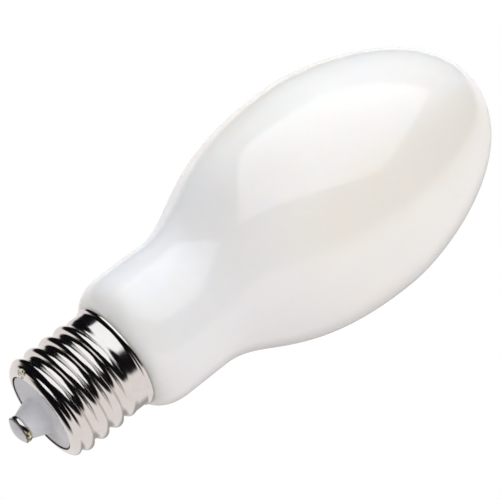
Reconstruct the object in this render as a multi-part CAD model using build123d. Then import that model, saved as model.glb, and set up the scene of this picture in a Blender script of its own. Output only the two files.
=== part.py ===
from build123d import *
import math
import os

# LED lamp that replaces a discharge lamp: white glass envelope on a large screw base.
# Millimetres. Z runs up the lamp's axis from the centre contact's tip to the crown.

# Envelope
overall_length = 217.9
belly_diameter = 88.9
belly_height = 148.35
neck_diameter = 50.8
neck_length = 17.05
shoulder_height = 44.0
shoulder_length = 12.4
shoulder_reach = 1.55
shoulder_rise = 9.7
throat_inset = 0.1
flank_rise = 19.6
flank_reach = 49.9
crown_rise = 18.7
crown_reach = 32.4
stem_gap = 0.25
stem_clearance = 3.4
stem_rounding = 3.0

# Screw shell
thread_pitch = 6.35
crest_diameter = 39.3
thread_height = 1.8
knuckle_radius = 1.85
shell_wall = 0.3
rim_reach = 2.75
rim_height = 11.1
first_crest_rise = 3.2
thread_start = 0.4
thread_start_length = 3.8
curl_rise = 3.4
skirt_inset = 0.65
skirt_height = 4.9
run_out_length = 5.5
lip_flare = 0.85
lip_length = 1.9
shell_seam_gap = 0.2
ring_points = 32
bands_per_turn = 12
curl_bands = 7

# Insulator
mouth_gap = 0.25
ring_recess = 0.35
cone_end_diameter = 9.5
cone_foot_diameter = 13.0
cone_foot_rise = 3.25
cone_fillet = 2.6
cone_foot_pull = (0.3, 1.8)
cone_ring_pull = 1.45
flange_gap = 0.65
flange_side_gap = 0.95
flange_thickness = 4.6
collar_wall = 1.8
collar_height = 2.0

# Contact and solder
contact_diameter = 10.3
contact_thickness = 1.75
contact_rounding = 0.4
dome_radius = 8.7
dome_face_diameter = 3.2
dome_height = 1.8
dome_rounding = 0.2
solder_angle = 214.0
solder_offset = 2.2
solder_length = 3.4
solder_width = 3.4
solder_height = 1.1

# Wires
lead_diameter = 0.8
side_lead_offset = 0.7
lead_gap = 0.15
stem_lead_diameter = 0.6
stem_lead_spacing = 5.0
stem_lead_offset = 4.5

# Basing cement
cement_recess = 1.1
cement_height = 5.2
cement_gap = 0.05

# Driver
board_gap = 0.2
board_thickness = 1.6
capacitor_diameter = 8.0
capacitor_height = 8.5
capacitor_rounding = 0.6
capacitor_place = (-7.6, -1.5)
core_diameter = 9.0
core_hub_diameter = 4.5
core_flange = 1.2
core_height = 7.5
core_place = (6.8, -5.0)
winding_gap = 0.2
rectifier_size = (6.4, 5.0, 2.4)
rectifier_place = (7.0, 6.0)
chip_size = (5.0, 4.0, 1.6)
chip_place = (-6.0, 8.4)
fuse_diameter = 3.0
fuse_length = 8.0
fuse_place = (-1.5, -11.0)

# Worked out from the sizes above
root_diameter = crest_diameter - 2 * thread_height
rim_diameter = root_diameter - 2 * rim_reach
skirt_diameter = crest_diameter - 2 * skirt_inset
neck_bottom = shoulder_height + shoulder_length
neck_top = neck_bottom + neck_length
throat_diameter = skirt_diameter - 2 * throat_inset
thread_middle = (crest_diameter + root_diameter) / 4
thread_swing = thread_height / 2
root_inside = root_diameter / 2 - shell_wall
skirt_inside = skirt_diameter / 2 - shell_wall
shell_top = shoulder_height - shell_seam_gap
run_out_top = shell_top - skirt_height
first_crest = rim_height + first_crest_rise
ring_height = rim_height + ring_recess
cone_bottom = dome_height + contact_thickness
flange_bottom = rim_height + shell_wall + flange_gap
flange_top = flange_bottom + flange_thickness
flange_diameter = 2 * (root_inside - flange_side_gap)
board_bottom = flange_top + collar_height
board_top = board_bottom + board_thickness
board_diameter = flange_diameter - 2 * board_gap
stem_diameter = 2 * (root_inside - stem_gap)
stem_bottom = board_top + capacitor_height + stem_clearance
cement_top = shoulder_height - cement_recess
cement_bottom = cement_top - cement_height
solder_turn = math.radians(solder_angle)
solder_radius = rim_diameter / 2 + solder_offset
side_lead_radius = rim_diameter / 2 + side_lead_offset
side_lead_place = (side_lead_radius * math.cos(solder_turn), side_lead_radius * math.sin(solder_turn))
side_lead_bottom = rim_height - lead_diameter / 2


def curve(start, end, start_pull, end_pull):
    """Smooth outline from start to end, its handles given as offsets from the two ends."""
    first = (start[0] + start_pull[0], start[1] + start_pull[1])
    last = (end[0] + end_pull[0], end[1] + end_pull[1])
    return Bezier(start, first, last, end)


def turned(profile_face):
    """Solid of revolution about the lamp's axis from a face drawn in radius and height."""
    return revolve(Plane.XZ * profile_face, Axis.Z, 360)


def disc(diameter, bottom, top, place=(0, 0)):
    """Plain round bar between two heights."""
    return Pos(place[0], place[1], bottom) * extrude(Circle(diameter / 2), top - bottom)


def ramp(share):
    """Smooth step from 0 to 1."""
    share = min(max(share, 0.0), 1.0)
    return share * share * (3 - 2 * share)


def glass_envelope():
    """Sealed glass bulb: crown, flank, straight neck, shoulder and the stem inside the base."""
    crown_top = (0, overall_length)
    belly = (belly_diameter / 2, belly_height)
    neck_high = (neck_diameter / 2, neck_top)
    neck_low = (neck_diameter / 2, neck_bottom)
    throat = (throat_diameter / 2, shoulder_height)
    stem_side = stem_diameter / 2
    crown = curve(crown_top, belly, (crown_reach, 0), (0, crown_rise))
    flank = curve(belly, neck_high, (0, -flank_reach), (0, flank_rise))
    neck = Line(neck_high, neck_low)
    shoulder = curve(neck_low, throat, (0, -shoulder_rise), (shoulder_reach, 0))
    stem = Polyline(
        throat,
        (stem_side, shoulder_height),
        (stem_side, stem_bottom),
        (0, stem_bottom),
        crown_top,
    )
    outline = make_face([crown, flank, neck, shoulder, stem])
    corner = outline.vertices().sort_by_distance((stem_side, stem_bottom))[0]
    return turned(fillet(corner, stem_rounding))


def knuckle(phase, inset):
    """Radial height of the rolled thread over its middle line, phase in turns."""
    along = abs((phase + 0.5) % 1.0 - 0.5) * thread_pitch
    centre = knuckle_radius - thread_swing
    crest_half = thread_pitch / 4 * (1 - inset / knuckle_radius)
    if along <= crest_half:
        return math.sqrt((knuckle_radius - inset) ** 2 - along ** 2) - centre
    along = thread_pitch / 2 - along
    return centre - math.sqrt((knuckle_radius + inset) ** 2 - along ** 2)


def shell_radius(height, turn, inset):
    """Radius of the shell at one height and turn, inset inwards from its outer face."""
    phase = (height - first_crest) / thread_pitch - turn + 0.5
    start = ramp((height - rim_height - thread_start) / thread_start_length)
    thread = thread_middle - inset + start * (knuckle(phase, inset) + inset)
    lip = ramp((height - shell_top + lip_length) / lip_length / 2) * lip_flare * 2
    skirt = skirt_diameter / 2 - inset + lip
    share = ramp((run_out_top - height) / run_out_length)
    body = share * thread + (1 - share) * skirt
    curl_top = rim_height + curl_rise
    if height >= curl_top:
        return body
    rise = max(height - rim_height - inset, 0.0) / (curl_rise - inset)
    rim = rim_diameter / 2
    curl = rim + (thread_middle - inset - rim) * math.sqrt(max(rise * (2 - rise), 0.0))
    blend = ramp(rise)
    return blend * body + (1 - blend) * curl


def shell_ring(height, inset):
    """Closed smooth curve round the shell at one height."""
    points = []
    for step in range(ring_points):
        turn = step / ring_points
        radius = shell_radius(height, turn, inset)
        angle = 2 * math.pi * turn
        points.append((radius * math.cos(angle), radius * math.sin(angle), height))
    knots = [step / ring_points for step in range(ring_points + 1)]
    return Wire([Edge.make_spline([Vector(*p) for p in points], periodic=True, parameters=knots)])


def shell_rings(inset):
    """Curves of one face of the shell, close together where it curls in at the rim."""
    bottom = rim_height + inset
    curl_top = rim_height + curl_rise
    heights = []
    for step in range(curl_bands):
        heights.append(curl_top - (curl_top - bottom) * math.cos(math.pi / 2 * step / curl_bands))
    thread_steps = math.ceil((shell_top - curl_top) / thread_pitch * bands_per_turn)
    for step in range(thread_steps + 1):
        heights.append(curl_top + (shell_top - curl_top) * step / thread_steps)
    return [shell_ring(height, inset) for height in heights]


def curl_height(radius):
    """Height of the curled rim's outer face at one radius."""
    rim = rim_diameter / 2
    share = (radius - rim) / (thread_middle - rim)
    return rim_height + curl_rise * (1 - math.sqrt(1 - share ** 2))


def side_faces(rings):
    """Narrow bands that join each curve to the next."""
    bands = []
    for low, high in zip(rings, rings[1:]):
        bands.append(Face.make_surface_from_curves(low.edge(), high.edge()))
    return bands


def screw_shell():
    """Thin rolled shell: right-hand knuckle thread, curled rim below, plain skirt above."""
    outer_rings = shell_rings(0.0)
    inner_rings = shell_rings(shell_wall)
    outer = side_faces(outer_rings)
    inner = side_faces(inner_rings)
    mouth = Face.make_surface_from_curves(outer_rings[0].edge(), inner_rings[0].edge())
    top = Face(outer_rings[-1], [inner_rings[-1]])
    shell = Solid(Shell(outer + inner + [mouth, top]))
    hole = disc(lead_diameter + 2 * lead_gap, 0, flange_bottom, side_lead_place)
    return shell - hole


def insulator():
    """Moulded insulator: cone under the contact, ring in the shell's mouth, flange and collar."""
    cone_end = cone_end_diameter / 2
    cone_foot = cone_foot_diameter / 2
    mouth = rim_diameter / 2 - mouth_gap
    flange = flange_diameter / 2
    collar = flange - collar_wall
    foot_height = ring_height - cone_foot_rise
    bore = lead_diameter / 2 + lead_gap
    flare = curve(
        (cone_foot, foot_height),
        (cone_foot + cone_fillet, ring_height),
        cone_foot_pull,
        (-cone_ring_pull, 0),
    )
    rest = Polyline(
        (cone_foot + cone_fillet, ring_height),
        (mouth, ring_height),
        (mouth, flange_bottom),
        (flange, flange_bottom),
        (flange, board_bottom),
        (collar, board_bottom),
        (collar, flange_top),
        (bore, flange_top),
        (bore, cone_bottom),
        (cone_end, cone_bottom),
        (cone_foot, foot_height),
    )
    body = turned(make_face([flare, rest]))
    hole = disc(lead_diameter + 2 * lead_gap, 0, board_bottom, side_lead_place)
    return body - hole


def centre_contact():
    """Metal eyelet on the end of the cone, with a bore for the centre wire."""
    eyelet = disc(contact_diameter, dome_height, cone_bottom)
    back = eyelet.edges().filter_by(GeomType.CIRCLE).sort_by(Axis.Z)[-1]
    return fillet(back, contact_rounding) - disc(lead_diameter + 2 * lead_gap, dome_height, cone_bottom)


def contact_solder():
    """Dome of solder under the eyelet, over the end of the centre wire, flat at its tip."""
    face = dome_face_diameter / 2
    side = contact_diameter / 2
    middle = (face + side) / 2
    centre = math.sqrt(dome_radius ** 2 - face ** 2)
    arc = ThreePointArc(
        (face, 0),
        (middle, centre - math.sqrt(dome_radius ** 2 - middle ** 2)),
        (side, centre - math.sqrt(dome_radius ** 2 - side ** 2)),
    )
    rest = Polyline(arc @ 1, (side, dome_height), (0, dome_height), (0, 0), (face, 0))
    outline = make_face([arc, rest])
    edge = outline.vertices().sort_by_distance(arc @ 1)[0]
    return turned(fillet(edge, dome_rounding))


def side_lead():
    """Wire from the driver board, down through the flange and the rim, to the side solder."""
    return disc(lead_diameter, side_lead_bottom, board_bottom, side_lead_place)


def centre_lead():
    """Wire from the driver board, down through the insulator and the eyelet, to the dome of solder."""
    return disc(lead_diameter, dome_height, board_bottom)


def side_solder():
    """Flat drop of solder over the side wire, lying on the curled rim."""
    drop = scale(Sphere(1), by=(solder_width / 2, solder_length / 2, solder_height))
    drop = Pos(solder_radius, 0, curl_height(solder_radius)) * drop
    drop = Rot(0, 0, solder_angle) * drop
    base = Solid.make_loft(shell_rings(0.0)[:curl_bands + 6], ruled=True)
    return drop - base - side_lead()


def basing_cement():
    """Ring of cement between the envelope's stem and the shell's skirt."""
    inside = stem_diameter / 2 + cement_gap
    outside = root_inside - cement_gap
    wide = skirt_inside - cement_gap
    return turned(
        make_face(
            Polyline(
                (inside, cement_bottom),
                (outside, cement_bottom),
                (wide, run_out_top),
                (wide, cement_top),
                (inside, cement_top),
                (inside, cement_bottom),
            )
        )
    )


def driver_board():
    """Round board that stands on the insulator's collar."""
    return disc(board_diameter, board_bottom, board_top)


def input_capacitor():
    """Can capacitor standing on the board."""
    can = disc(capacitor_diameter, board_top, board_top + capacitor_height, capacitor_place)
    edge = can.edges().filter_by(GeomType.CIRCLE).sort_by(Axis.Z)[-1]
    return fillet(edge, capacitor_rounding)


def choke_core():
    """Drum core: two flanges on a hub."""
    top = board_top + core_height
    low = disc(core_diameter, board_top, board_top + core_flange, core_place)
    hub = disc(core_hub_diameter, board_top + core_flange, top - core_flange, core_place)
    high = disc(core_diameter, top - core_flange, top, core_place)
    return low + hub + high


def choke_winding():
    """Copper coil between the drum core's flanges."""
    low = board_top + core_flange
    high = board_top + core_height - core_flange
    coil = disc(core_diameter - 2 * winding_gap, low, high, core_place)
    return coil - disc(core_hub_diameter, low, high, core_place)


def block_on_board(size, place):
    """Plain moulded block standing on the board."""
    return Pos(place[0], place[1], board_top + size[2] / 2) * Box(*size)


def fuse_resistor():
    """Round resistor lying on the board."""
    lying = Rot(0, 90, 0) * Cylinder(fuse_diameter / 2, fuse_length)
    return Pos(fuse_place[0], fuse_place[1], board_top + fuse_diameter / 2) * lying


def stem_lead(side):
    """Wire from the driver board up to the envelope's stem."""
    place = (side * stem_lead_spacing / 2, stem_lead_offset)
    return disc(stem_lead_diameter, board_top, stem_bottom, place)


pieces = {
    "glass_envelope": glass_envelope(),
    "screw_shell": screw_shell(),
    "insulator": insulator(),
    "centre_contact": centre_contact(),
    "contact_solder": contact_solder(),
    "side_solder": side_solder(),
    "side_lead": side_lead(),
    "centre_lead": centre_lead(),
    "basing_cement": basing_cement(),
    "driver_board": driver_board(),
    "input_capacitor": input_capacitor(),
    "choke_core": choke_core(),
    "choke_winding": choke_winding(),
    "rectifier": block_on_board(rectifier_size, rectifier_place),
    "driver_chip": block_on_board(chip_size, chip_place),
    "fuse_resistor": fuse_resistor(),
    "stem_lead_left": stem_lead(-1),
    "stem_lead_right": stem_lead(1),
}

os.makedirs("parts", exist_ok=True)
for name, piece in pieces.items():
    export_step(piece, f"parts/{name}.step")
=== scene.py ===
import math

import bpy
from mathutils import Matrix, Vector, noise


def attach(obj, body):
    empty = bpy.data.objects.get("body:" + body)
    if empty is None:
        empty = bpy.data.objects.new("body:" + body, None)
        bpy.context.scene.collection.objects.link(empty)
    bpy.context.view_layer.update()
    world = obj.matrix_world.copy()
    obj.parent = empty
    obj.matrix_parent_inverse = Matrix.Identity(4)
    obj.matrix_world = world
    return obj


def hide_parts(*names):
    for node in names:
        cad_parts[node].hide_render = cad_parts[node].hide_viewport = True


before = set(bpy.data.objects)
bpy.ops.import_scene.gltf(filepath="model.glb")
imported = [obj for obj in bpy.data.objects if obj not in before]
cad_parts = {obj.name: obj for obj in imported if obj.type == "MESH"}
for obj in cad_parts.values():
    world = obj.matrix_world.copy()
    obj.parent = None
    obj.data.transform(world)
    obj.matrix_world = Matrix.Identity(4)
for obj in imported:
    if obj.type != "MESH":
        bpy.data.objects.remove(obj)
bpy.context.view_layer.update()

MM = 0.001
ON_AXIS = 1e-6

# Glass envelope, in millimetres as in the solids
LENGTH = 217.9
BELLY_RADIUS = 44.45
BELLY_HEIGHT = 148.35
NECK_RADIUS = 25.4
NECK_BOTTOM = 56.4
NECK_TOP = 73.45
THROAT_RADIUS = 18.9
SHOULDER_HEIGHT = 44.0
SHOULDER_REACH = 1.55
SHOULDER_RISE = 9.7
FLANK_RISE = 19.6
FLANK_REACH = 49.9
CROWN_RISE = 18.7
CROWN_REACH = 32.4
STEM_RADIUS = 17.3
STEM_BOTTOM = 32.15
STEM_ROUNDING = 3.0
STEM_ROUNDING_PULL = 1.3

# Screw shell
PITCH = 6.35
CREST_RADIUS = 19.65
ROOT_RADIUS = 17.85
KNUCKLE_RADIUS = 1.85
WALL = 0.3
FIRST_CREST = 14.3
RIM_RADIUS = 15.1
RIM_HEIGHT = 11.1
CURL_RISE = 3.4
THREAD_START = 0.4
THREAD_START_LENGTH = 3.8
SKIRT_RADIUS = 19.0
RUN_OUT_TOP = 38.9
RUN_OUT_LENGTH = 5.5
LIP_FLARE = 0.85
LIP_LENGTH = 1.9
LIP_RISE = 1.3
SHELL_TOP = 43.8

# Insulator
RING_HEIGHT = 11.45
MOUTH_RADIUS = 14.5
CONE_BOTTOM = 3.55
CONE_END_RADIUS = 4.75
CONE_FOOT_RADIUS = 6.5
CONE_FOOT_RISE = 3.25
CONE_FOOT_PULL = (0.3, 1.8)
CONE_FILLET = 2.6
CONE_RING_PULL = 1.45
FLANGE_BOTTOM = 12.05
FLANGE_RADIUS = 16.6
INSULATOR_TOP = 18.65
EDGE_ROUNDING = 0.12

# Centre contact and its solder
CONTACT_RADIUS = 5.15
EYELET_BULGE = 0.3
EYELET_SIDE_PULL = 0.08
EYELET_EDGE_PULL = 0.25
DOME_RADIUS = 8.7
DOME_HEIGHT = 1.8

# Side solder: place, half sizes out, aside and up, its lumps as (scale, amount), and how far its back sinks
SOLDER_TURN = math.radians(214.0)
SOLDER_RADIUS = 17.3
SOLDER_HEIGHT = 11.85
SOLDER_HALF = (1.75, 1.8, 1.15)
SOLDER_LUMPS = ((1.7, 0.16), (5.0, 0.07))
SOLDER_SINK = 0.12

# Mesh steps: around each piece, along its curves, and per curl and thread turn of the shell's two faces
GLASS_AROUND = 192
SHELL_AROUND = 192
INSULATOR_AROUND = 128
CONTACT_AROUND = 96
SOLDER_AROUND = 64
SOLDER_RINGS = 40
OUTER_STEPS = (24, 36)
INNER_STEPS = (12, 14)
STEM_STEPS = 8
SHOULDER_STEPS = 28
NECK_STEPS = 6
FLANK_STEPS = 60
CROWN_STEPS = 72
CONE_STEPS = 8
FILLET_STEPS = 20
EYELET_STEPS = 16
DOME_STEPS = 28

# Span of the noise that a mottle runs over
MOTTLE = (0.3, 0.7)

# Colours: dark and light end of each finish
MILK_BELLY = ((0.885, 0.862, 0.838), (0.90, 0.885, 0.865))
# Milk glass at the neck with painted cool light: bluer and darker than the belly
MILK_PAINTED_COOL_LIGHT = ((0.845, 0.845, 0.855), (0.865, 0.865, 0.88))
# Painted warm light on the belly, laid on in bands round it
MILK_PAINTED_WARM_LIGHT = ((0.86, 0.82, 0.755), (0.875, 0.84, 0.78))
SHELL_NICKEL = ((0.735, 0.705, 0.685), (0.775, 0.745, 0.725))
MOULDING_GREY = ((0.64, 0.64, 0.67), (0.69, 0.69, 0.715))
EYELET_NICKEL = ((0.70, 0.69, 0.68), (0.84, 0.83, 0.82))
DOME_PALE = ((0.66, 0.66, 0.70), (0.76, 0.75, 0.80))
FLOOR_PALE = ((0.86, 0.86, 0.86), (0.89, 0.89, 0.89))

# Colours with a place in the noise for each stop
EYELET_BRASS = ((0.40, (0.05, 0.04, 0.03)), (0.50, (0.34, 0.30, 0.17)), (0.64, (0.72, 0.66, 0.50)))
# Dark edge of the dome: dirty rough solder and painted shade in the groove at the eyelet
DOME_DIRT_AND_SHADE = ((0.35, (0.03, 0.028, 0.025)), (0.65, (0.22, 0.20, 0.17)))
PITTED_SOLDER = ((0.37, (0.03, 0.025, 0.02)), (0.42, (0.70, 0.60, 0.42)), (0.52, (0.92, 0.90, 0.85)))

# Painted light on the glass, heights in metres: painted cool light on the neck that fades out towards the
# belly and partly towards the lip, and painted warm light in bands round the belly
COOL_LIGHT_FADE_TO_BELLY = (0.075, 0.125)
COOL_LIGHT_FADE_TO_LIP = (0.060, 0.047)
COOL_LIGHT_FADE_AT_LIP = 0.6
WARM_LIGHT_BANDS = 4
WARM_LIGHT_TURN = math.radians(-76.0)
WARM_LIGHT_START = (0.095, 0.125)
WARM_LIGHT_END = (0.212, 0.195)
WARM_LIGHT_WEIGHT = 0.7

# Darker edge of the dome by radius, partly dirty rough solder and partly painted shade in the groove at the
# eyelet, and brassy side of the eyelet by x, in metres
DOME_EDGE = (0.0049, 0.0054)
DOME_EDGE_WANDER = 0.0009
BRASS_SIDE = (0.0, 0.0022)

# Rolling marks of the shell: waves in one pitch, and their weight
ROLLING_MARKS = ((11, 0.5), (23, 0.3), (41, 0.2))

# Finishes inside the base: name, dark, light, scale of the mottle, metallic, roughness, nodes
PLAIN_LOOKS = (
    ("copper_look", (0.55, 0.25, 0.14), (0.75, 0.40, 0.24), 600.0, 1.0, 0.3,
     ("stem_lead_left", "stem_lead_right", "choke_winding")),
    ("tinned_copper_look", (0.60, 0.57, 0.52), (0.74, 0.71, 0.66), 600.0, 1.0, 0.3,
     ("side_lead", "centre_lead")),
    ("moulding_look", (0.014, 0.014, 0.016), (0.026, 0.026, 0.028), 500.0, 0.0, 0.5,
     ("rectifier", "driver_chip")),
    ("cement_look", (0.60, 0.57, 0.50), (0.78, 0.75, 0.68), 400.0, 0.0, 0.5, ("basing_cement",)),
    ("board_look", (0.03, 0.17, 0.07), (0.05, 0.24, 0.10), 300.0, 0.0, 0.35, ("driver_board",)),
    ("sleeve_look", (0.02, 0.03, 0.05), (0.03, 0.05, 0.08), 300.0, 0.0, 0.3, ("input_capacitor",)),
    ("ferrite_look", (0.05, 0.05, 0.055), (0.09, 0.09, 0.095), 500.0, 0.0, 0.5, ("choke_core",)),
    ("resistor_look", (0.45, 0.33, 0.22), (0.60, 0.46, 0.32), 500.0, 0.0, 0.5, ("fuse_resistor",)),
)

# Camera, at the photograph's angle: place, aim and lean in the lamp's own frame
CAMERA_PLACE = Vector((0.0, -0.56726, -0.13217))
CAMERA_RISE = math.radians(22.877)
CAMERA_ASIDE = math.radians(-0.10)
CAMERA_LEAN = math.radians(52.59)
FRAME_PIXELS = 500
FOCAL_PIXELS = 1735.06
SENSOR = 36.0
NEAREST = 0.01

# Soft box, tilted with the lamp as it lay: its gloss and its matt light are two lamps
WHITE = (1.0, 1.0, 1.0)
SOFTBOX_PLACE = Vector((-0.2525, -0.3447, 0.3091))
SOFTBOX_ACROSS = Vector((-0.462, 0.698, 0.547))
SOFTBOX_FACING = Vector((-0.672, -0.678, 0.297))
SOFTBOX_SIZE = (0.67, 0.85)
SOFTBOX_GLOSS = 2.2
SOFTBOX_GLOSS_COLOUR = (0.96, 0.98, 1.0)
SOFTBOX_LIGHT = 1.4

# Fills for the matt light alone: place, power, colour
FILL_SIZE = (0.5, 0.5)
FILLS = {
    "right_fill": (Vector((0.388, -0.782, 0.327)), 3.6, WHITE),
    "left_fill": (Vector((-0.386, -0.390, -0.604)), 3.5, WHITE),
    "top_fill": (Vector((-0.685, 0.034, 0.692)), 7.1, (0.86, 0.92, 1.0)),
}

# Surroundings: a pale table below, dim under the base and beyond the lamp, and a dark room above it
TABLE_NORMAL = Vector((-0.6867, -0.6664, 0.2903))
TABLE_LIGHT = (0.90, 0.865, 0.85)
ROOM_LIGHT = (0.004, 0.004, 0.005)
ROOM_COSINE = (-0.06, 0.06)
BASE_END = Vector((0.0, 0.0, -1.0))
BASE_END_COSINE = (0.74, 0.84)
FAR_SIDE = Vector((0.42, 0.84, 0.35))
FAR_SIDE_COSINE = (0.87, 0.98)
FAR_SIDE_SHADE = 0.55
FLOOR_HEIGHT = -0.22
FLOOR_HALF = 3.0
FLOOR_GLOW = 0.5


def bezier(start, first, last, end, steps):
    """Points of a cubic curve, without its end point."""
    points = []
    for step in range(steps):
        t = step / steps
        u = 1 - t
        weights = (u ** 3, 3 * u * u * t, 3 * u * t * t, t ** 3)
        corners = (start, first, last, end)
        points.append(tuple(sum(w * c[i] for w, c in zip(weights, corners)) for i in range(2)))
    return points


def make_piece(name, vertices, faces, material, slot, *nodes):
    """Smooth mesh in millimetres that stands for CAD nodes and rides with them."""
    mesh = bpy.data.meshes.new(name)
    mesh.from_pydata([Vector(v) * MM for v in vertices], [], faces)
    mesh.validate()
    mesh.shade_smooth()
    piece = bpy.data.objects.new(name, mesh)
    bpy.context.collection.objects.link(piece)
    mesh.materials.append(material)
    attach(piece, "root")
    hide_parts(*nodes)
    return piece


def lathe(profile, steps):
    """Vertices and faces turned about Z from (radius, height) points; radius 0 closes to a pole."""
    vertices = []
    rings = []
    for radius, height in profile:
        if radius < ON_AXIS:
            rings.append([len(vertices)] * steps)
            vertices.append((0.0, 0.0, height))
            continue
        rings.append(list(range(len(vertices), len(vertices) + steps)))
        for step in range(steps):
            angle = 2 * math.pi * step / steps
            vertices.append((radius * math.cos(angle), radius * math.sin(angle), height))
    return vertices, ring_faces(rings, steps)


def ring_faces(rings, steps):
    """Faces between following rings of vertex numbers, triangles at a pole."""
    faces = []
    for low, high in zip(rings, rings[1:]):
        for step in range(steps):
            after = (step + 1) % steps
            corners = [low[step], low[after], high[after], high[step]]
            face = list(dict.fromkeys(corners))
            if len(face) > 2:
                faces.append(face)
    return faces


def rounded(profile, corner, size, steps=5):
    """The profile with one corner point replaced by a small smooth bend."""
    before, here, after = (Vector(profile[i]) for i in (corner - 1, corner, corner + 1))
    start = here + (before - here).normalized() * size
    end = here + (after - here).normalized() * size
    bend = []
    for step in range(steps + 1):
        t = step / steps
        bend.append(tuple(start * (1 - t) ** 2 + here * 2 * t * (1 - t) + end * t * t))
    return profile[:corner] + bend + profile[corner + 1:]


def ramp(share):
    """Smooth step from 0 to 1."""
    share = min(max(share, 0.0), 1.0)
    return share * share * (3 - 2 * share)


def knuckle(phase, inset):
    """Radial height of the rolled thread over its middle line, phase in turns."""
    depth = (CREST_RADIUS - ROOT_RADIUS) / 2
    along = abs((phase + 0.5) % 1.0 - 0.5) * PITCH
    centre = KNUCKLE_RADIUS - depth
    crest_half = PITCH / 4 * (1 - inset / KNUCKLE_RADIUS)
    if along <= crest_half:
        return math.sqrt((KNUCKLE_RADIUS - inset) ** 2 - along ** 2) - centre
    along = PITCH / 2 - along
    return centre - math.sqrt((KNUCKLE_RADIUS + inset) ** 2 - along ** 2)


def shell_radius(height, turn, inset):
    """Radius of the shell at one height and turn, inset inwards from its outer face."""
    middle = (CREST_RADIUS + ROOT_RADIUS) / 2
    start = ramp((height - RIM_HEIGHT - THREAD_START) / THREAD_START_LENGTH)
    knurl = knuckle((height - FIRST_CREST) / PITCH - turn + 0.5, inset)
    thread = middle - inset + start * (knurl + inset)
    lip = ramp((height - SHELL_TOP + LIP_LENGTH) / LIP_RISE) * LIP_FLARE
    skirt = SKIRT_RADIUS - inset + lip
    share = ramp((RUN_OUT_TOP - height) / RUN_OUT_LENGTH)
    body = share * thread + (1 - share) * skirt
    if height >= RIM_HEIGHT + CURL_RISE:
        return body
    rise = max(height - RIM_HEIGHT - inset, 0.0) / (CURL_RISE - inset)
    curl = RIM_RADIUS + (middle - inset - RIM_RADIUS) * math.sqrt(max(rise * (2 - rise), 0.0))
    blend = ramp(rise)
    return blend * body + (1 - blend) * curl


def shell_heights(inset, curl_steps, turn_steps):
    """Heights of the shell's rings, close together where it curls in at the rim."""
    bottom = RIM_HEIGHT + inset
    curl_top = RIM_HEIGHT + CURL_RISE
    heights = []
    for step in range(curl_steps):
        heights.append(curl_top - (curl_top - bottom) * math.cos(math.pi / 2 * step / curl_steps))
    steps = round((SHELL_TOP - curl_top) / PITCH * turn_steps)
    for step in range(steps + 1):
        heights.append(curl_top + (SHELL_TOP - curl_top) * step / steps)
    return heights


def shell_grid(inset, curl_steps, turn_steps, first):
    """Vertices and their ring numbers for one face of the shell."""
    vertices = []
    rings = []
    for height in shell_heights(inset, curl_steps, turn_steps):
        start = first + len(vertices)
        rings.append(list(range(start, start + SHELL_AROUND)))
        for step in range(SHELL_AROUND):
            turn = step / SHELL_AROUND
            radius = shell_radius(height, turn, inset)
            angle = 2 * math.pi * turn
            vertices.append((radius * math.cos(angle), radius * math.sin(angle), height))
    return vertices, rings


def screw_shell(material):
    """Rolled shell: outer and inner face with true helical thread, joined at rim and lip."""
    outer, outer_rings = shell_grid(0.0, *OUTER_STEPS, 0)
    inner, inner_rings = shell_grid(WALL, *INNER_STEPS, len(outer))
    faces = ring_faces(inner_rings[::-1], SHELL_AROUND)
    faces += ring_faces([inner_rings[0], outer_rings[0]], SHELL_AROUND)
    faces += ring_faces(outer_rings, SHELL_AROUND)
    faces += ring_faces([outer_rings[-1], inner_rings[-1]], SHELL_AROUND)
    return make_piece("screw_shell_skin", outer + inner, faces, material, "shell_nickel", "screw_shell")


def glass_envelope(material):
    """Closed glass outline from the stem up over shoulder, neck, flank and crown."""
    flat = STEM_RADIUS - STEM_ROUNDING
    bend = STEM_BOTTOM + STEM_ROUNDING
    profile = [(0.0, STEM_BOTTOM), (flat, STEM_BOTTOM)]
    profile += bezier((flat, STEM_BOTTOM), (STEM_RADIUS - STEM_ROUNDING_PULL, STEM_BOTTOM),
                      (STEM_RADIUS, STEM_BOTTOM + STEM_ROUNDING_PULL), (STEM_RADIUS, bend), STEM_STEPS)[1:]
    profile += [(STEM_RADIUS, bend), (STEM_RADIUS, SHOULDER_HEIGHT)]
    profile += bezier((THROAT_RADIUS, SHOULDER_HEIGHT), (THROAT_RADIUS + SHOULDER_REACH, SHOULDER_HEIGHT),
                      (NECK_RADIUS, NECK_BOTTOM - SHOULDER_RISE), (NECK_RADIUS, NECK_BOTTOM), SHOULDER_STEPS)
    for step in range(NECK_STEPS):
        profile.append((NECK_RADIUS, NECK_BOTTOM + (NECK_TOP - NECK_BOTTOM) * step / NECK_STEPS))
    profile += bezier((NECK_RADIUS, NECK_TOP), (NECK_RADIUS, NECK_TOP + FLANK_RISE),
                      (BELLY_RADIUS, BELLY_HEIGHT - FLANK_REACH), (BELLY_RADIUS, BELLY_HEIGHT), FLANK_STEPS)
    profile += bezier((BELLY_RADIUS, BELLY_HEIGHT), (BELLY_RADIUS, BELLY_HEIGHT + CROWN_RISE),
                      (CROWN_REACH, LENGTH), (0.0, LENGTH), CROWN_STEPS)
    profile += [(0.0, LENGTH)]
    vertices, faces = lathe(profile, GLASS_AROUND)
    return make_piece("glass_envelope_skin", vertices, faces, material, "milk_glass", "glass_envelope")


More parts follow.
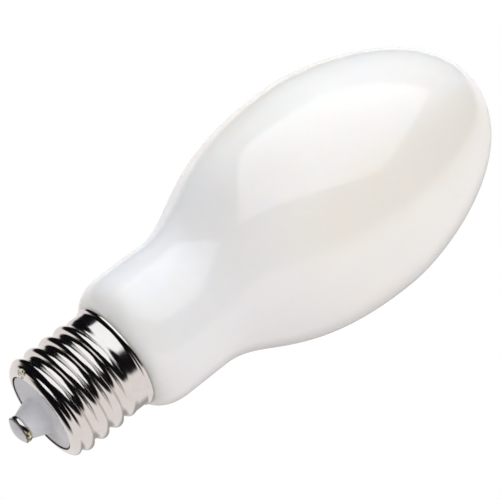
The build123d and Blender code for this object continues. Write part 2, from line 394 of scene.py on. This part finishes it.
def insulator(material):
    """Moulded insulator: cone, soft fillet, ring in the mouth and flange behind the rim."""
    foot = (CONE_FOOT_RADIUS, RING_HEIGHT - CONE_FOOT_RISE)
    ring = (CONE_FOOT_RADIUS + CONE_FILLET, RING_HEIGHT)
    profile = [(0.0, CONE_BOTTOM), (CONE_END_RADIUS, CONE_BOTTOM)]
    profile += [(CONE_END_RADIUS + (foot[0] - CONE_END_RADIUS) * i / CONE_STEPS,
                 CONE_BOTTOM + (foot[1] - CONE_BOTTOM) * i / CONE_STEPS) for i in range(1, CONE_STEPS)]
    profile += bezier(foot, (foot[0] + CONE_FOOT_PULL[0], foot[1] + CONE_FOOT_PULL[1]),
                      (ring[0] - CONE_RING_PULL, ring[1]), ring, FILLET_STEPS)
    profile += [ring, (MOUTH_RADIUS, RING_HEIGHT), (MOUTH_RADIUS, FLANGE_BOTTOM)]
    profile += [(FLANGE_RADIUS, FLANGE_BOTTOM), (FLANGE_RADIUS, INSULATOR_TOP), (0.0, INSULATOR_TOP)]
    flange_top, flange_bottom, mouth = (len(profile) - back for back in (2, 3, 5))
    for corner in (flange_top, flange_bottom, mouth):
        profile = rounded(profile, corner, EDGE_ROUNDING)
    vertices, faces = lathe(profile, INSULATOR_AROUND)
    return make_piece("insulator_skin", vertices, faces, material, "insulator_grey", "insulator")


def centre_contact(material):
    """Metal eyelet round the end of the cone, its side bulged."""
    edge = CONTACT_RADIUS - EYELET_BULGE
    side = CONTACT_RADIUS + EYELET_SIDE_PULL
    profile = [(0.0, DOME_HEIGHT)]
    profile += bezier((edge, DOME_HEIGHT), (side, DOME_HEIGHT + EYELET_EDGE_PULL),
                      (side, CONE_BOTTOM - EYELET_EDGE_PULL), (edge, CONE_BOTTOM), EYELET_STEPS)
    profile += [(edge, CONE_BOTTOM), (0.0, CONE_BOTTOM)]
    vertices, faces = lathe(profile, CONTACT_AROUND)
    return make_piece("centre_contact_skin", vertices, faces, material, "contact_nickel", "centre_contact")


def contact_solder(material):
    """Low dome of solder over the eyelet, with a rounded edge."""
    profile = []
    for step in range(DOME_STEPS + 1):
        radius = CONTACT_RADIUS * step / DOME_STEPS
        profile.append((radius, DOME_RADIUS - math.sqrt(DOME_RADIUS ** 2 - radius ** 2)))
    profile += [(CONTACT_RADIUS - EYELET_BULGE, DOME_HEIGHT), (0.0, DOME_HEIGHT)]
    profile = rounded(profile, DOME_STEPS, EDGE_ROUNDING)
    vertices, faces = lathe(profile, CONTACT_AROUND)
    return make_piece("contact_solder_skin", vertices, faces, material, "tin_solder", "contact_solder")


def solder_vertex(way):
    """Point of the side solder in one direction from its middle (out, aside, up)."""
    swell = 1.0
    for scale, amount in SOLDER_LUMPS:
        swell += amount * noise.noise(way * scale)
    out, aside, up = (part * half * swell for part, half in zip(way, SOLDER_HALF))
    height = SOLDER_HEIGHT + up
    turn = SOLDER_TURN + math.atan2(aside, SOLDER_RADIUS + out)
    radius = math.hypot(SOLDER_RADIUS + out, aside)
    if height > RIM_HEIGHT:
        radius = max(radius, shell_radius(height, turn / 2 / math.pi, 0.0) - SOLDER_SINK)
    return radius * math.cos(turn), radius * math.sin(turn), height


def side_solder(material):
    """Uneven drop of solder on the curled rim, its back sunk just under the shell's outer face."""
    vertices = []
    numbers = []
    for ring in range(SOLDER_RINGS + 1):
        fall = math.pi * ring / SOLDER_RINGS
        around = 1 if ring in (0, SOLDER_RINGS) else SOLDER_AROUND
        numbers.append([len(vertices) + step % around for step in range(SOLDER_AROUND)])
        for step in range(around):
            angle = 2 * math.pi * step / SOLDER_AROUND
            way = Vector((math.sin(fall) * math.cos(angle), math.sin(fall) * math.sin(angle), -math.cos(fall)))
            vertices.append(solder_vertex(way))
    faces = ring_faces(numbers, SOLDER_AROUND)
    return make_piece("side_solder_skin", vertices, faces, material, "solder", "side_solder")


class Graph:
    """Small helper that adds nodes to one node tree and links them."""

    def __init__(self, tree):
        self.tree = tree

    def node(self, kind, inputs=None, **settings):
        """Adds a node, sets its settings, and links or sets its inputs by name or number."""
        made = self.tree.nodes.new(kind)
        for key, value in settings.items():
            setattr(made, key, value)
        for key, value in (inputs or {}).items():
            if isinstance(value, bpy.types.NodeSocket):
                self.tree.links.new(value, made.inputs[key])
            else:
                made.inputs[key].default_value = value
        return made

    def maths(self, operation, *values):
        """Result of one math node."""
        return self.node("ShaderNodeMath", dict(enumerate(values)), operation=operation).outputs[0]

    def noise(self, scale, detail):
        """Noise factor over the object's own coordinates."""
        place = self.node("ShaderNodeTexCoord").outputs["Object"]
        made = self.node("ShaderNodeTexNoise", {"Vector": place, "Scale": scale, "Detail": detail})
        return made.outputs["Fac"]

    def between(self, factor, low, high):
        """Number that runs from low to high with the factor."""
        made = self.node("ShaderNodeMapRange", {"Value": factor, "To Min": low, "To Max": high})
        return made.outputs["Result"]

    def rise(self, value, zone, top=1.0):
        """Smooth share from 0 at the zone's first end to top at its last, which may be the lower one."""
        first, last = zone
        span = {"Value": value, "From Min": first, "From Max": last, "To Max": top}
        made = self.node("ShaderNodeMapRange", span, interpolation_type="SMOOTHSTEP")
        return made.outputs["Result"]

    def colours(self, factor, stops):
        """Colour along (position, colour) stops."""
        made = self.node("ShaderNodeValToRGB", {"Fac": factor})
        elements = made.color_ramp.elements
        while len(elements) < len(stops):
            elements.new(0.5)
        for element, (position, colour) in zip(elements, stops):
            element.position = position
            element.color = (*colour, 1.0)
        return made.outputs["Color"]

    def mottle(self, factor, ends):
        """Colour that wanders between the dark and the light end of a finish."""
        return self.colours(factor, tuple(zip(MOTTLE, ends)))

    def mixed(self, factor, first, second):
        """Colour that runs from the first to the second with the factor."""
        made = self.node("ShaderNodeMix", {0: factor, 6: first, 7: second}, data_type="RGBA")
        return made.outputs[2]

    def place(self):
        """The object's own x, y and z in metres."""
        place = self.node("ShaderNodeTexCoord").outputs["Object"]
        return self.node("ShaderNodeSeparateXYZ", {0: place}).outputs

    def towards(self, direction, way, cosines, most=1.0):
        """Share from 0 to most as a direction comes near a way, between two cosines."""
        near = self.node("ShaderNodeVectorMath", {0: direction, 1: way.normalized()}, operation="DOT_PRODUCT")
        low, high = cosines
        span = {"Value": near.outputs["Value"], "From Min": low, "From Max": high, "To Max": most}
        return self.node("ShaderNodeMapRange", span).outputs["Result"]

    def bump(self, height, strength, distance):
        """Normal bent by a height."""
        made = self.node("ShaderNodeBump", {"Height": height, "Strength": strength, "Distance": distance})
        return made.outputs["Normal"]


def new_material(name):
    """Empty material with a graph, its main shader and that shader linked to the output."""
    material = bpy.data.materials.new(name)
    material.use_nodes = True
    material.node_tree.nodes.clear()
    graph = Graph(material.node_tree)
    shader = graph.node("ShaderNodeBsdfPrincipled")
    graph.node("ShaderNodeOutputMaterial", {"Surface": shader.outputs[0]})
    return material, graph, shader


def wire_up(graph, shader, **sockets):
    """Links or sets the shader's sockets by name, underscores standing for spaces."""
    for key, value in sockets.items():
        socket = shader.inputs[key.replace("_", " ")]
        if isinstance(value, bpy.types.NodeSocket):
            graph.tree.links.new(value, socket)
        else:
            socket.default_value = value


def milk_glass():
    """White coated glass, with painted cool light on the neck and painted warm light in faint bands round the
    belly.
    """
    material, graph, shader = new_material("milk_glass_look")
    cloud = graph.noise(scale=14.0, detail=2.0)
    x, y, z = graph.place()
    # Painted cool light on the neck, fading out towards the belly and partly towards the lip
    out_of_cool_light = graph.maths("MAXIMUM", graph.rise(z, COOL_LIGHT_FADE_TO_BELLY), graph.rise(z, COOL_LIGHT_FADE_TO_LIP, COOL_LIGHT_FADE_AT_LIP))
    colour = graph.mixed(out_of_cool_light, graph.mottle(cloud, MILK_PAINTED_COOL_LIGHT), graph.mottle(cloud, MILK_BELLY))
    # Painted warm light in bands round the belly, between two heights
    angle = graph.maths("SUBTRACT", graph.maths("ARCTAN2", y, x), WARM_LIGHT_TURN)
    warm_light_band = graph.maths("COSINE", graph.maths("MULTIPLY", angle, WARM_LIGHT_BANDS))
    warm_light_band = graph.maths("MULTIPLY", graph.rise(warm_light_band, (0.0, 1.0), WARM_LIGHT_WEIGHT), graph.rise(z, WARM_LIGHT_START))
    warm_light_band = graph.maths("MULTIPLY", warm_light_band, graph.rise(z, WARM_LIGHT_END))
    wave = graph.noise(scale=26.0, detail=1.0)
    wire_up(graph, shader, Base_Color=graph.mixed(warm_light_band, colour, graph.mottle(cloud, MILK_PAINTED_WARM_LIGHT)),
            Roughness=0.04, IOR=1.58,
            Subsurface_Weight=0.8, Subsurface_Radius=(1.0, 0.9, 0.8), Subsurface_Scale=0.02,
            Normal=graph.bump(wave, strength=0.015, distance=0.002))
    return material


def shell_nickel():
    """Bright nickel plate with fine rolling marks that follow the thread."""
    material, graph, shader = new_material("shell_nickel_look")
    x, y, z = graph.place()
    turn = graph.maths("DIVIDE", graph.maths("ARCTAN2", y, x), 2 * math.pi)
    along = graph.maths("SUBTRACT", graph.maths("DIVIDE", z, PITCH * MM), turn)
    marks = None
    for count, weight in ROLLING_MARKS:
        wave = graph.maths("SINE", graph.maths("MULTIPLY", along, 2 * math.pi * count))
        wave = graph.maths("MULTIPLY", wave, weight)
        marks = wave if marks is None else graph.maths("ADD", marks, wave)
    patchy = graph.maths("MULTIPLY", marks, graph.noise(scale=220.0, detail=2.0))
    smudge = graph.noise(scale=320.0, detail=3.0)
    wire_up(graph, shader, Base_Color=graph.mottle(smudge, SHELL_NICKEL), Metallic=1.0,
            Roughness=graph.between(smudge, 0.10, 0.16),
            Normal=graph.bump(patchy, strength=0.07, distance=0.0001))
    return material


def insulator_grey():
    """Satin light grey moulding."""
    material, graph, shader = new_material("insulator_grey_look")
    grain = graph.noise(scale=900.0, detail=3.0)
    cloud = graph.noise(scale=150.0, detail=2.0)
    wire_up(graph, shader, Base_Color=graph.mottle(cloud, MOULDING_GREY), Roughness=0.42, IOR=1.5,
            Normal=graph.bump(grain, strength=0.08, distance=0.0002))
    return material


def contact_nickel():
    """Nickel eyelet, duller than the shell, with a brassy worn patch at one side."""
    material, graph, shader = new_material("contact_nickel_look")
    dents = graph.noise(scale=420.0, detail=2.0)
    stain = graph.noise(scale=900.0, detail=3.0)
    x = graph.place()[0]
    plain = graph.mottle(dents, EYELET_NICKEL)
    brass = graph.colours(stain, EYELET_BRASS)
    wire_up(graph, shader, Base_Color=graph.mixed(graph.rise(x, BRASS_SIDE), plain, brass), Metallic=1.0,
            Roughness=graph.between(dents, 0.08, 0.24),
            Normal=graph.bump(dents, strength=0.25, distance=0.0003))
    return material


def tin_solder():
    """Pale satin solder, smooth where it has run, darker and rough at its edge: partly dirty solder, partly
    painted shade in the groove at the eyelet.
    """
    material, graph, shader = new_material("tin_solder_look")
    cloud = graph.noise(scale=300.0, detail=3.0)
    grime_and_shade = graph.noise(scale=1300.0, detail=3.0)
    x, y, _ = graph.place()
    out = graph.maths("ADD", graph.maths("MULTIPLY", x, x), graph.maths("MULTIPLY", y, y))
    out = graph.maths("SQRT", out)
    # Darker towards the edge: dirt, and painted shade in the groove at the eyelet
    out = graph.maths("ADD", out, graph.maths("MULTIPLY", grime_and_shade, DOME_EDGE_WANDER))
    pale = graph.mottle(cloud, DOME_PALE)
    dirt_and_shade = graph.colours(grime_and_shade, DOME_DIRT_AND_SHADE)
    wire_up(graph, shader, Base_Color=graph.mixed(graph.rise(out, DOME_EDGE), pale, dirt_and_shade), Metallic=0.1,
            Roughness=0.42, Normal=graph.bump(cloud, strength=0.12, distance=0.0004))
    return material


def solder():
    """Rough bright solder with dark pits."""
    material, graph, shader = new_material("solder_look")
    lumps = graph.noise(scale=900.0, detail=2.0)
    wire_up(graph, shader, Base_Color=graph.colours(lumps, PITTED_SOLDER), Metallic=0.45,
            Roughness=graph.between(lumps, 0.2, 0.4),
            Normal=graph.bump(lumps, strength=0.6, distance=0.0005))
    return material


def plain_look(name, dark, light, scale, metallic, roughness):
    """Simple mottled finish for the pieces inside the base."""
    material, graph, shader = new_material(name)
    cloud = graph.noise(scale, detail=3.0)
    wire_up(graph, shader, Base_Color=graph.mottle(cloud, (dark, light)), Metallic=metallic,
            Roughness=roughness, Normal=graph.bump(cloud, strength=0.1, distance=0.0002))
    return material


def dress_nodes():
    """Finishes for the CAD nodes that stay."""
    for *finish, nodes in PLAIN_LOOKS:
        material = plain_look(*finish)
        for node in nodes:
            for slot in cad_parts[node].material_slots:
                slot.material = material


def add_camera():
    """Camera where the photograph was taken from, leaning with it."""
    data = bpy.data.cameras.new("camera")
    data.sensor_width = SENSOR
    data.lens = SENSOR * FOCAL_PIXELS / FRAME_PIXELS
    data.clip_start = NEAREST
    camera = bpy.data.objects.new("camera", data)
    bpy.context.collection.objects.link(camera)
    aim = Vector((math.sin(CAMERA_ASIDE) * math.cos(CAMERA_RISE),
                  math.cos(CAMERA_ASIDE) * math.cos(CAMERA_RISE), math.sin(CAMERA_RISE)))
    level = aim.to_track_quat("-Z", "Y").to_matrix().to_4x4()
    lean = Matrix.Rotation(CAMERA_LEAN, 4, "Z")
    camera.matrix_world = Matrix.Translation(CAMERA_PLACE) @ level @ lean
    bpy.context.scene.camera = camera


def add_area_light(name, place, facing, across, size, power, colour):
    """Rectangular soft light; facing points away from what it lights."""
    data = bpy.data.lights.new(name, "AREA")
    data.shape = "RECTANGLE"
    data.size, data.size_y = size
    data.energy = power
    data.color = colour
    light = bpy.data.objects.new(name, data)
    back = facing.normalized()
    across = (across - back * across.dot(back)).normalized()
    upward = back.cross(across)
    turn = Matrix((across, upward, back)).transposed().to_4x4()
    light.matrix_world = Matrix.Translation(place) @ turn
    bpy.context.collection.objects.link(light)
    return light


def add_lights():
    """Overhead soft box, seen in the gloss, its own soft light, and three fills for the matt light alone."""
    softbox = (SOFTBOX_PLACE, SOFTBOX_FACING, SOFTBOX_ACROSS, SOFTBOX_SIZE)
    gloss = add_area_light("softbox", *softbox, SOFTBOX_GLOSS, SOFTBOX_GLOSS_COLOUR)
    gloss.visible_diffuse = False
    fills = [add_area_light("softbox_light", *softbox, SOFTBOX_LIGHT, WHITE)]
    middle = Vector((0.0, 0.0, LENGTH / 2 * MM))
    upright = Vector((0.0, 0.0, 1.0))
    for name, (place, power, colour) in FILLS.items():
        fills.append(add_area_light(name, place, place - middle, upright, FILL_SIZE, power, colour))
    for fill in fills:
        fill.visible_glossy = False
        fill.data.cycles.use_multiple_importance_sampling = False


def add_surroundings():
    """White for the camera, and for all other rays a pale table under a dark room."""
    world = bpy.data.worlds.new("studio")
    bpy.context.scene.world = world
    world.use_nodes = True
    world.node_tree.nodes.clear()
    graph = Graph(world.node_tree)
    direction = graph.node("ShaderNodeTexCoord").outputs["Generated"]
    room = graph.towards(direction, TABLE_NORMAL, ROOM_COSINE)
    end = graph.towards(direction, BASE_END, BASE_END_COSINE)
    beyond = graph.towards(direction, FAR_SIDE, FAR_SIDE_COSINE, FAR_SIDE_SHADE)
    dark = graph.maths("MAXIMUM", graph.maths("MAXIMUM", room, end), beyond)
    light = graph.colours(dark, ((0.0, TABLE_LIGHT), (1.0, ROOM_LIGHT)))
    studio = graph.node("ShaderNodeBackground", {"Color": light, "Strength": 1.0})
    white = graph.node("ShaderNodeBackground", {"Color": (*WHITE, 1.0), "Strength": 1.0})
    seen = graph.node("ShaderNodeLightPath").outputs["Is Camera Ray"]
    mixed = graph.node("ShaderNodeMixShader", {0: seen, 1: studio.outputs[0], 2: white.outputs[0]})
    graph.node("ShaderNodeOutputWorld", {"Surface": mixed.outputs[0]})


def add_floor():
    """Plain pale floor well below the lamp, which keeps no light from it."""
    mesh = bpy.data.meshes.new("floor")
    corners = [(-FLOOR_HALF, -FLOOR_HALF, 0), (FLOOR_HALF, -FLOOR_HALF, 0),
               (FLOOR_HALF, FLOOR_HALF, 0), (-FLOOR_HALF, FLOOR_HALF, 0)]
    mesh.from_pydata(corners, [], [(0, 1, 2, 3)])
    floor = bpy.data.objects.new("floor", mesh)
    floor.location.z = FLOOR_HEIGHT
    bpy.context.collection.objects.link(floor)
    material, graph, shader = new_material("floor_look")
    pale = graph.mottle(graph.noise(scale=3.0, detail=2.0), FLOOR_PALE)
    wire_up(graph, shader, Base_Color=pale, Roughness=0.8, Emission_Color=pale, Emission_Strength=FLOOR_GLOW)
    mesh.materials.append(material)
    floor.visible_glossy = False
    floor.visible_diffuse = False
    floor.visible_shadow = False


glass_envelope(milk_glass())
screw_shell(shell_nickel())
insulator(insulator_grey())
centre_contact(contact_nickel())
contact_solder(tin_solder())
side_solder(solder())
dress_nodes()
add_camera()
add_lights()
add_surroundings()
add_floor()
bpy.context.scene.view_settings.view_transform = "Standard"
